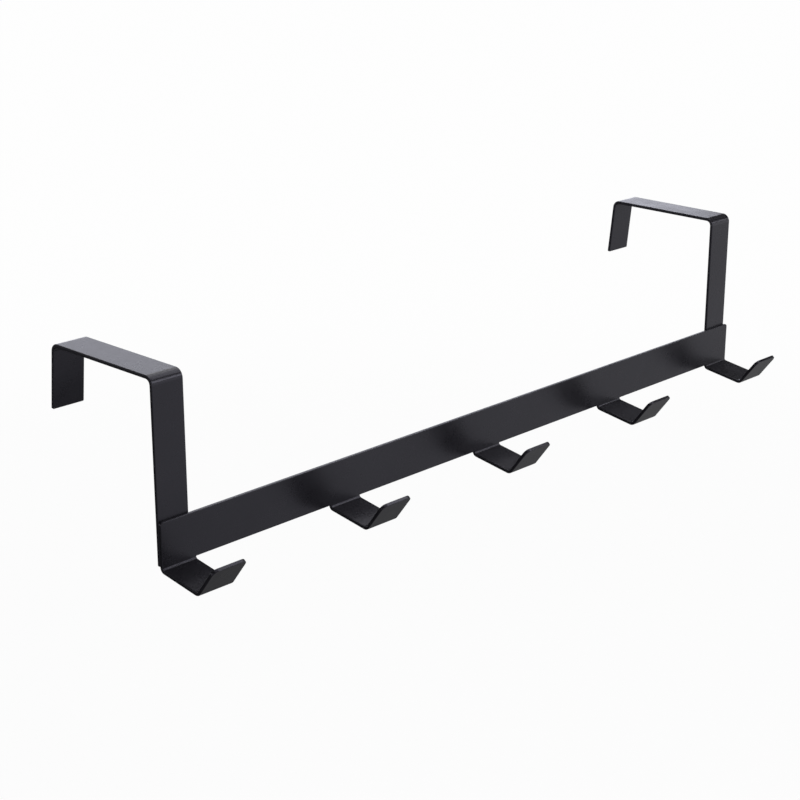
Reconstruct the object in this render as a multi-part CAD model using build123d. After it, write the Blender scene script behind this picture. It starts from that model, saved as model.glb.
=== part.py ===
from build123d import *
import math
import os

# Driving dimensions, in millimetres and degrees

# Sheet that the rail and both straps are cut from
sheet_thickness = 1.2
edge_rounding = 0.25

# Rail
rail_length = 300.0
rail_height = 15.0
rail_top_corner_radius = 1.0

# Hooks, bent forward from the rail's lower edge
hook_count = 5
hook_width = 13.5
hook_root_bend_radius = 0.7
hook_floor_depth = 16.4
hook_floor_droop = 8.5
hook_lip_bend_radius = 1.4
hook_lip_length = 12.4
hook_lip_rise = 53.0
hook_tip_corner_radius = 2.0

# Door brackets
strap_width = 12.0
strap_end_corner_radius = 0.35
bracket_bend_radius = 1.8
door_gap = 48.0
front_leg_height = 60.3
rear_leg_height = 21.3
rear_leg_flare = 6.0
right_strap_inset = 1.0

# Spot welds, seen as shallow dents in the straps' door side
weld_dent_diameter = 4.0
weld_dent_floor_diameter = 3.2
weld_dent_depth = 0.15
weld_dent_spacing = 7.0

# Frame: the door's front face is y = 0, its top edge is z = 0 and the rail's middle is x = 0.
# The hooks point to -y. The straps lie between the door and the rail.
strap_front_y = -sheet_thickness
rail_front_y = strap_front_y - sheet_thickness
rail_bottom_z = -front_leg_height
rail_middle_z = rail_bottom_z + rail_height / 2
left_strap_x = -rail_length / 2
right_strap_x = rail_length / 2 - right_strap_inset - strap_width


def reach(start, length, angle):
    """Point at this distance from start, at an angle from +y towards +z."""
    return (
        start[0] + length * math.cos(math.radians(angle)),
        start[1] + length * math.sin(math.radians(angle)),
    )


def folded_strip(inside_points, bend_radii, width):
    """Sheet strip from x = 0 to its width, folded along the (y, z) points of its inside faces."""
    inside = FilletPolyline(*inside_points, radius=bend_radii)
    section = make_face(offset(inside, amount=sheet_thickness, side=Side.LEFT, closed=True))
    return extrude(Plane.YZ * section, amount=width)


def corner_edges(strip):
    """The four short edges through the sheet at a strip's corners."""
    return strip.edges().filter_by(lambda edge: math.isclose(edge.length, sheet_thickness, rel_tol=1e-6))


def round_cut_edges(sheet):
    """Round every sharp outer edge, and leave the smooth lines beside bends and corners."""
    smooth_angle = 20
    sharp = ShapeList()
    for edge in sheet.edges():
        middle = edge.position_at(0.5)
        beside = [face for face in sheet.faces() if any(edge.is_same(other) for other in face.edges())]
        first, second = (face.normal_at(middle) for face in beside)
        if first.get_angle(second) > smooth_angle:
            sharp.append(edge)
    return fillet(sharp, edge_rounding)


def hook():
    """One hook from x = 0: a root in the rail, a bend, a drooping floor, a bend and a rising lip."""
    root_setback = hook_root_bend_radius * math.tan(math.radians((90 - hook_floor_droop) / 2))
    top = (rail_front_y, rail_middle_z)
    root_corner = (rail_front_y, rail_bottom_z - root_setback)
    front_corner = reach(root_corner, hook_floor_depth, 180 + hook_floor_droop)
    tip = reach(front_corner, hook_lip_length, 180 - hook_lip_rise)
    strip = folded_strip(
        [top, root_corner, front_corner, tip], [hook_root_bend_radius, hook_lip_bend_radius], hook_width
    )
    tip_corners = corner_edges(strip).group_by(Axis.Y)[0]
    return round_cut_edges(fillet(tip_corners, hook_tip_corner_radius))


def hook_rail():
    """Rail with evenly spaced hooks, the outer two flush with its ends, as one folded sheet."""
    rail = Pos(0, rail_front_y, rail_bottom_z) * Box(
        rail_length, sheet_thickness, rail_height, align=(Align.CENTER, Align.MIN, Align.MIN)
    )
    top_corners = rail.edges().filter_by(Axis.Y).group_by(Axis.Z)[-1]
    rail = round_cut_edges(fillet(top_corners, rail_top_corner_radius))
    one_hook = hook()
    pitch = (rail_length - hook_width) / (hook_count - 1)
    return rail + [Pos(i * pitch - rail_length / 2, 0, 0) * one_hook for i in range(hook_count)]


def weld_dents():
    """Two shallow round dents, one above the other, in the door side of a strap from x = 0."""
    dent = Rot(90, 0, 0) * Cone(
        weld_dent_diameter / 2,
        weld_dent_floor_diameter / 2,
        weld_dent_depth,
        align=(Align.CENTER, Align.CENTER, Align.MIN),
    )
    heights = (rail_middle_z - weld_dent_spacing / 2, rail_middle_z + weld_dent_spacing / 2)
    return [Pos(strap_width / 2, 0, height) * dent for height in heights]


def door_bracket():
    """Strap from x = 0, folded over the door's top edge, with its rear leg flared away from the door."""
    flare_run = rear_leg_height * math.tan(math.radians(rear_leg_flare))
    strip = folded_strip(
        [(0, rail_bottom_z), (0, 0), (door_gap, 0), (door_gap + flare_run, -rear_leg_height)],
        bracket_bend_radius,
        strap_width,
    )
    strap = round_cut_edges(fillet(corner_edges(strip), strap_end_corner_radius))
    return strap - weld_dents()


bracket = door_bracket()
pieces = {
    "hook_rail": hook_rail(),
    "left_door_bracket": Pos(left_strap_x, 0, 0) * bracket,
    "right_door_bracket": Pos(right_strap_x, 0, 0) * bracket,
}

os.makedirs("parts", exist_ok=True)
for name, piece in pieces.items():
    export_step(piece, f"parts/{name}.step")
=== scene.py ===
"""Black powder coated over door hook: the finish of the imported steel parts, the studio and the camera."""

import math

import bpy
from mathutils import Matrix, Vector


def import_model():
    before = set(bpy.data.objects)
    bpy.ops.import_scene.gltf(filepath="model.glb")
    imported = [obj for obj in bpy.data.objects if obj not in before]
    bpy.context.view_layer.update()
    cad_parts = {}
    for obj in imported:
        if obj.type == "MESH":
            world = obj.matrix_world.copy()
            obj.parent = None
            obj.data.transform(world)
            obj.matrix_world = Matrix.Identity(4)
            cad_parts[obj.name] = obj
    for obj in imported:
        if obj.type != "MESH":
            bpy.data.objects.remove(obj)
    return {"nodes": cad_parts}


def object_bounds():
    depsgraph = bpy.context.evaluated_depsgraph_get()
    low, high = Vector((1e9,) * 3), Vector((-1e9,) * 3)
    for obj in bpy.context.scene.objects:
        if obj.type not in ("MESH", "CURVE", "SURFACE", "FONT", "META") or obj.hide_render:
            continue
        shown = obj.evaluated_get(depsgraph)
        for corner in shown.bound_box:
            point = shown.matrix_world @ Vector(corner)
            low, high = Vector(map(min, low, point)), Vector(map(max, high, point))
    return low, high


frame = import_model()
cad_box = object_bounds()
cad_low, cad_high = cad_box
object_centre = (cad_low + cad_high) / 2

# Lengths are in metres and angles in degrees. Azimuth 0 is in front of the hooks, at -Y, azimuth 90 is at
# the rail's right end, at +X, and elevations are above the horizon.
MM = 0.001

# Camera, at the photograph's viewing angle
SENSOR_WIDTH_MM = 36.0
LENS_MM = 81.4
CAMERA_TARGET = Vector((-43.0, 0.0, -32.3)) * MM
CAMERA_AZIMUTH = -45.8
CAMERA_ELEVATION = 18.8
CAMERA_DISTANCE = 620.3 * MM

# Powder coat: colours
BLACK = (0.0046, 0.0044, 0.0057, 1.0)
BLOOM = (0.0075, 0.0072, 0.0092, 1.0)
# The lighter colour at the edges: partly thin coat, partly a painted edge highlight.
THIN_EDGE_AND_HIGHLIGHT = (0.016, 0.015, 0.018, 1.0)
SHEEN_TINT = (0.83, 0.81, 1.0, 1.0)
COAT_IOR = 1.5

# Powder coat: how wide its patterns are, and how high the two that raise the surface
CLOUD_WIDTH = 34 * MM
MOTTLE_WIDTH = 5.5 * MM
PEEL_WIDTH = 1.3 * MM
PEEL_HEIGHT, PEEL_STRENGTH = 0.03 * MM, 0.28
GRAIN_WIDTH = 0.28 * MM
GRAIN_HEIGHT, GRAIN_STRENGTH = 0.012 * MM, 0.22

# Powder coat: the stretch of each noise over which it takes effect
CLOUD_SPAN = (0.32, 0.70)
MOTTLE_SPAN = (0.30, 0.70)
PATCH_SPAN = (0.40, 0.62)
GRAIN_SPAN = (0.3, 0.7)
SPECK_SPAN = (0.62, 0.78)
SPECK_SHARE = 0.35

# Powder coat: roughness, and what the grain and the worn edges change in it
GLOSSY_ROUGHNESS, DULL_ROUGHNESS = 0.27, 0.32
GRAIN_ROUGHNESS = 0.02
WORN_POLISH = 0.03

# Powder coat: lighter edges, partly thin coat and partly a painted edge highlight, which grow as the cosine
# between a small bevel's normal and the face's falls
EDGE_WIDTH = 0.45 * MM
EDGE_COSINES = (0.995, 0.86)
EDGE_LEAST_SHARE = 0.25

# White floor, and the share of it that glows for the rays that show the background
FLOOR_DROP = 0.6
FLOOR_SIZE = 30.0
FLOOR_GREY = 0.9
FLOOR_GLOW_SHARE = 0.96

# Grey card: a disc of painted shade, seen only in reflections, that pales along two directions, from a
# start to an end measured from its middle
TABLE_DROP = 0.22
TABLE_RADIUS = 1.9
TABLE_SIDES = 48
TABLE_PAINTED_SHADE_GREY = 0.04
TABLE_FRONT_SLOPE = dict(azimuth=12.0, start=-0.25, end=0.58, grey=0.58)
TABLE_BACK_SLOPE = dict(azimuth=140.0, start=0.30, end=0.75, grey=0.30)

# Softboxes, placed where the faces and bends mirror them
WHITE = (1.0, 1.0, 1.0)
COOL_WHITE = (0.87, 0.885, 1.0)
SOFTBOXES = {
    "key_softbox": dict(azimuth=42.0, elevation=22.0, distance=1.5, width=0.9, height=0.34, power=4.1),
    "back_softbox": dict(
        azimuth=140.0, elevation=10.5, distance=1.6, width=1.1, height=0.55, power=3.75, colour=COOL_WHITE
    ),
    "top_softbox": dict(azimuth=92.0, elevation=53.0, distance=0.9, width=0.95, height=0.28, power=2.4),
    "rim_softbox": dict(azimuth=148.0, elevation=35.0, distance=1.2, width=0.50, height=0.30, power=1.0),
}

# World: a white wall that fades into a dark ceiling, which pales again overhead, each between two
# elevations
WORLD_LIGHT = 0.8
WALL_FADE = (6.0, 12.0)
CEILING_GREY = 0.03
ZENITH_FADE = (52.0, 70.0)
ZENITH_GREY = 0.9


def towards(azimuth, elevation):
    """Unit vector from the object towards a camera or lamp at this azimuth and elevation."""
    turn, rise = math.radians(azimuth), math.radians(elevation)
    return Vector((
        math.sin(turn) * math.cos(rise),
        -math.cos(turn) * math.cos(rise),
        math.sin(rise),
    ))


def aim(thing, target, azimuth, elevation, distance):
    """Place a camera or lamp at a distance from its target and turn it to look there."""
    away = towards(azimuth, elevation)
    thing.location = target + away * distance
    thing.rotation_mode = "QUATERNION"
    thing.rotation_quaternion = (-away).to_track_quat("-Z", "Y")


class Nodes:
    """Short ways to make and join the nodes of one material or world."""

    def __init__(self, owner):
        owner.use_nodes = True
        self.tree = owner.node_tree
        self.tree.nodes.clear()

    def add(self, kind, **settings):
        node = self.tree.nodes.new(kind)
        for name, value in settings.items():
            setattr(node, name, value)
        return node

    def join(self, output, socket):
        self.tree.links.new(output, socket)

    def feed(self, sockets, values):
        """Join each socket to another node's output, or set it to a plain value."""
        for socket, value in zip(sockets, values):
            if isinstance(value, bpy.types.NodeSocket):
                self.join(value, socket)
            else:
                socket.default_value = value

    def math(self, operation, first, second):
        node = self.add("ShaderNodeMath", operation=operation)
        self.feed(node.inputs, (first, second))
        return node.outputs[0]

    def noise(self, place, width, detail=2.0, roughness=0.5):
        """Noise whose lumps are about this many metres across."""
        node = self.add("ShaderNodeTexNoise")
        self.join(place, node.inputs["Vector"])
        node.inputs["Scale"].default_value = 1.0 / width
        node.inputs["Detail"].default_value = detail
        node.inputs["Roughness"].default_value = roughness
        return node.outputs[0]

    def span(self, value, low, high, to_low, to_high):
        """Map a value's range low to high onto to_low to to_high, and hold it there."""
        node = self.add("ShaderNodeMapRange")
        self.feed(node.inputs, (value, low, high, to_low, to_high))
        return node.outputs[0]

    def bump(self, height, strength, distance):
        node = self.add("ShaderNodeBump")
        node.inputs["Strength"].default_value = strength
        node.inputs["Distance"].default_value = distance
        self.join(height, node.inputs["Height"])
        return node

    def mix_colour(self, share, first, second):
        node = self.add("ShaderNodeMix", data_type="RGBA")
        self.feed((node.inputs["Factor"], node.inputs["A"], node.inputs["B"]), (share, first, second))
        return node.outputs["Result"]

    def mix_shader(self, share, first, second):
        node = self.add("ShaderNodeMixShader")
        self.feed(node.inputs, (share, first, second))
        return node.outputs[0]

    def show(self, shader, kind="ShaderNodeOutputMaterial"):
        """Make a shader the surface of the material or world."""
        self.join(shader, self.add(kind).inputs["Surface"])


def powder_coat():
    """Satin black powder coat: orange peel, fine grain, uneven gloss and lighter edges, partly thin coat
    and partly a painted edge highlight.
    """
    material = bpy.data.materials.new("black_powder_coat")
    n = Nodes(material)
    place = n.add("ShaderNodeTexCoord").outputs["Object"]
    cloud = n.noise(place, CLOUD_WIDTH, detail=3.0)
    mottle = n.noise(place, MOTTLE_WIDTH, detail=3.0, roughness=0.6)
    peel = n.noise(place, PEEL_WIDTH, detail=1.0)
    grain = n.noise(place, GRAIN_WIDTH, roughness=0.6)

    bevel = n.add("ShaderNodeBevel", samples=6)
    bevel.inputs["Radius"].default_value = EDGE_WIDTH
    face = n.add("ShaderNodeNewGeometry")
    facing = n.add("ShaderNodeVectorMath", operation="DOT_PRODUCT")
    n.feed(facing.inputs, (bevel.outputs["Normal"], face.outputs["True Normal"]))
    edge = n.span(facing.outputs["Value"], *EDGE_COSINES, 0.0, 1.0)
    patchy = n.span(mottle, *PATCH_SPAN, EDGE_LEAST_SHARE, 1.0)
    wear_and_highlight = n.math("MULTIPLY", edge, patchy)

    colour = n.mix_colour(n.span(cloud, *CLOUD_SPAN, 0.0, 1.0), BLACK, BLOOM)
    colour = n.mix_colour(n.span(grain, *SPECK_SPAN, 0.0, SPECK_SHARE), colour, BLOOM)
    # Lighter edges: partly thin coat, partly a painted edge highlight.
    colour = n.mix_colour(wear_and_highlight, colour, THIN_EDGE_AND_HIGHLIGHT)

    gloss = n.span(mottle, *MOTTLE_SPAN, GLOSSY_ROUGHNESS, DULL_ROUGHNESS)
    gloss = n.math("ADD", gloss, n.span(grain, *GRAIN_SPAN, -GRAIN_ROUGHNESS, GRAIN_ROUGHNESS))
    gloss = n.math("SUBTRACT", gloss, n.math("MULTIPLY", wear_and_highlight, WORN_POLISH))

    lumps = n.bump(peel, PEEL_STRENGTH, PEEL_HEIGHT)
    fine = n.bump(grain, GRAIN_STRENGTH, GRAIN_HEIGHT)
    n.join(lumps.outputs["Normal"], fine.inputs["Normal"])

    shader = n.add("ShaderNodeBsdfPrincipled")
    shader.inputs["IOR"].default_value = COAT_IOR
    shader.inputs["Specular Tint"].default_value = SHEEN_TINT
    n.join(colour, shader.inputs["Base Color"])
    n.join(gloss, shader.inputs["Roughness"])
    n.join(fine.outputs["Normal"], shader.inputs["Normal"])
    n.show(shader.outputs[0])
    return material


def seen_rays(n):
    """1 for rays that show the background: straight from the camera, or by way of gloss or glass."""
    path = n.add("ShaderNodeLightPath")
    seen = n.math("MAXIMUM", path.outputs["Is Camera Ray"], path.outputs["Is Glossy Ray"])
    return n.math("MAXIMUM", seen, path.outputs["Is Transmission Ray"])


def pale_floor():
    """White floor that glows evenly towards the camera and still takes the object's shadow."""
    material = bpy.data.materials.new("pale_floor")
    n = Nodes(material)
    lit = n.add("ShaderNodeBsdfDiffuse")
    lit.inputs["Color"].default_value = (FLOOR_GREY, FLOOR_GREY, FLOOR_GREY, 1.0)
    glow = n.add("ShaderNodeEmission")
    share = n.math("MULTIPLY", seen_rays(n), FLOOR_GLOW_SHARE)
    n.show(n.mix_shader(share, lit.outputs[0], glow.outputs[0]))
    return material


def painted_shade_card():
    """Painted shade for reflections: dark grey that keeps the black object black, paling towards the front
    right and the back right.
    """
    material = bpy.data.materials.new("painted_shade_card")
    n = Nodes(material)
    across = n.add("ShaderNodeSeparateXYZ")
    n.join(n.add("ShaderNodeTexCoord").outputs["Object"], across.inputs[0])

    def slope(azimuth, start, end, grey):
        """Grey that rises from the painted shade along one direction, between two distances from the
        middle.
        """
        way = towards(azimuth, 0)
        steps = [n.math("MULTIPLY", across.outputs[axis], way[axis]) for axis in (0, 1)]
        return n.span(n.math("ADD", *steps), start, end, TABLE_PAINTED_SHADE_GREY, grey)

    lit = n.add("ShaderNodeBsdfDiffuse")
    # Dark in the middle and at the left back: painted shade for reflections.
    grey = n.math("MAXIMUM", slope(**TABLE_FRONT_SLOPE), slope(**TABLE_BACK_SLOPE))
    n.join(grey, lit.inputs["Color"])
    n.show(lit.outputs[0])
    return material


def stage_piece(name, corners, material):
    """Flat polygon that belongs to the studio."""
    mesh = bpy.data.meshes.new(name)
    mesh.from_pydata(corners, [], [range(len(corners))])
    mesh.materials.append(material)
    piece = bpy.data.objects.new(name, mesh)
    bpy.context.scene.collection.objects.link(piece)
    return piece


def floor():
    """Wide white floor, well below the object."""
    half = FLOOR_SIZE / 2
    height = cad_low.z - FLOOR_DROP
    corners = [(x * half, y * half, height) for x, y in ((-1, -1), (1, -1), (1, 1), (-1, 1))]
    stage_piece("floor", corners, pale_floor())


def table():
    """Grey card of painted shade that only reflections see, so it neither shows nor shades the floor."""
    height = cad_low.z - TABLE_DROP
    turns = [2 * math.pi * i / TABLE_SIDES for i in range(TABLE_SIDES)]
    corners = [(TABLE_RADIUS * math.cos(a), TABLE_RADIUS * math.sin(a), height) for a in turns]
    card = stage_piece("painted_shade_card", corners, painted_shade_card())
    card.visible_camera = False
    card.visible_shadow = False


def softbox(name, azimuth, elevation, distance, width, height, power, colour=WHITE):
    """Rectangular lamp that looks at the object's centre and isn't seen by the camera."""
    lamp = bpy.data.lights.new(name, "AREA")
    lamp.shape = "RECTANGLE"
    lamp.size = width
    lamp.size_y = height
    lamp.energy = power
    lamp.color = colour
    thing = bpy.data.objects.new(name, lamp)
    bpy.context.scene.collection.objects.link(thing)
    thing.visible_camera = False
    aim(thing, object_centre, azimuth, elevation, distance)


def world():
    """White behind the object, a dark ceiling that only reflections see, and an even low light."""
    sky = bpy.data.worlds.new("studio")
    bpy.context.scene.world = sky
    n = Nodes(sky)
    light = n.add("ShaderNodeBackground")
    light.inputs["Strength"].default_value = WORLD_LIGHT
    light.inputs["Color"].default_value = (*WHITE, 1.0)
    rise = n.add("ShaderNodeSeparateXYZ")
    n.join(n.add("ShaderNodeTexCoord").outputs["Generated"], rise.inputs[0])

    def fade(elevations, from_grey, to_grey):
        """Grey that changes between two elevations."""
        low, high = (math.sin(math.radians(elevation)) for elevation in elevations)
        return n.span(rise.outputs["Z"], low, high, from_grey, to_grey)

    wall = fade(WALL_FADE, 1.0, CEILING_GREY)
    zenith = fade(ZENITH_FADE, CEILING_GREY, ZENITH_GREY)
    to_camera = n.add("ShaderNodeLightPath").outputs["Is Camera Ray"]
    backdrop = n.add("ShaderNodeBackground")
    n.join(n.math("MAXIMUM", to_camera, n.math("MAXIMUM", wall, zenith)), backdrop.inputs["Color"])
    n.show(n.mix_shader(seen_rays(n), light.outputs[0], backdrop.outputs[0]), "ShaderNodeOutputWorld")


def camera():
    """Camera that frames the object as the photograph does."""
    lens = bpy.data.cameras.new("camera")
    lens.sensor_width = SENSOR_WIDTH_MM
    lens.lens = LENS_MM
    thing = bpy.data.objects.new("camera", lens)
    bpy.context.scene.collection.objects.link(thing)
    aim(thing, CAMERA_TARGET, CAMERA_AZIMUTH, CAMERA_ELEVATION, CAMERA_DISTANCE)
    bpy.context.scene.camera = thing


coat = powder_coat()
for node in frame["nodes"].values():
    for slot in node.material_slots:
        slot.material = coat

floor()
table()
for name, settings in SOFTBOXES.items():
    softbox(name, **settings)
world()
camera()
bpy.context.scene.view_settings.view_transform = "Standard"
